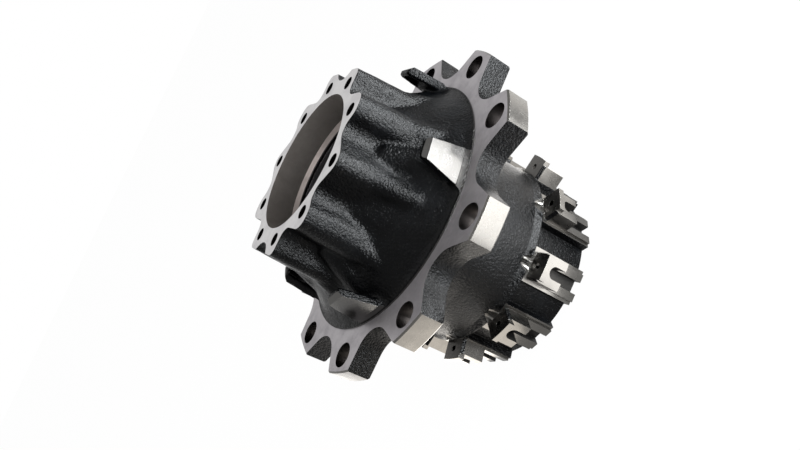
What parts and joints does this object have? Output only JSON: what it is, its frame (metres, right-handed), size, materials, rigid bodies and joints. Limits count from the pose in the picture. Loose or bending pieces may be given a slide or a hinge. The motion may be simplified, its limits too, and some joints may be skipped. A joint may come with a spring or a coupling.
{
  "type": "wheel hub",
  "caption": "Heavy truck wheel hub: lobed bearing barrel, scalloped stud flange with wheel pilots, and a drum with brake disc drive lugs.",
  "frame": {"origin": "on the hub's axis, in the plane of the machined flange face that the wheel seats on", "axes": "+Z along the axis outboard, through the lobed barrel's end face; +X through one wheel pilot"},
  "size_m": [0.3642, 0.372, 0.291],
  "materials": {
    "cast_iron_machined": "dark coated as-cast skin, with bright turned and milled faces"
  },
  "bodies": {
    "root": {"wheel_hub": "cast_iron_machined"}
  },
  "joints": []
}
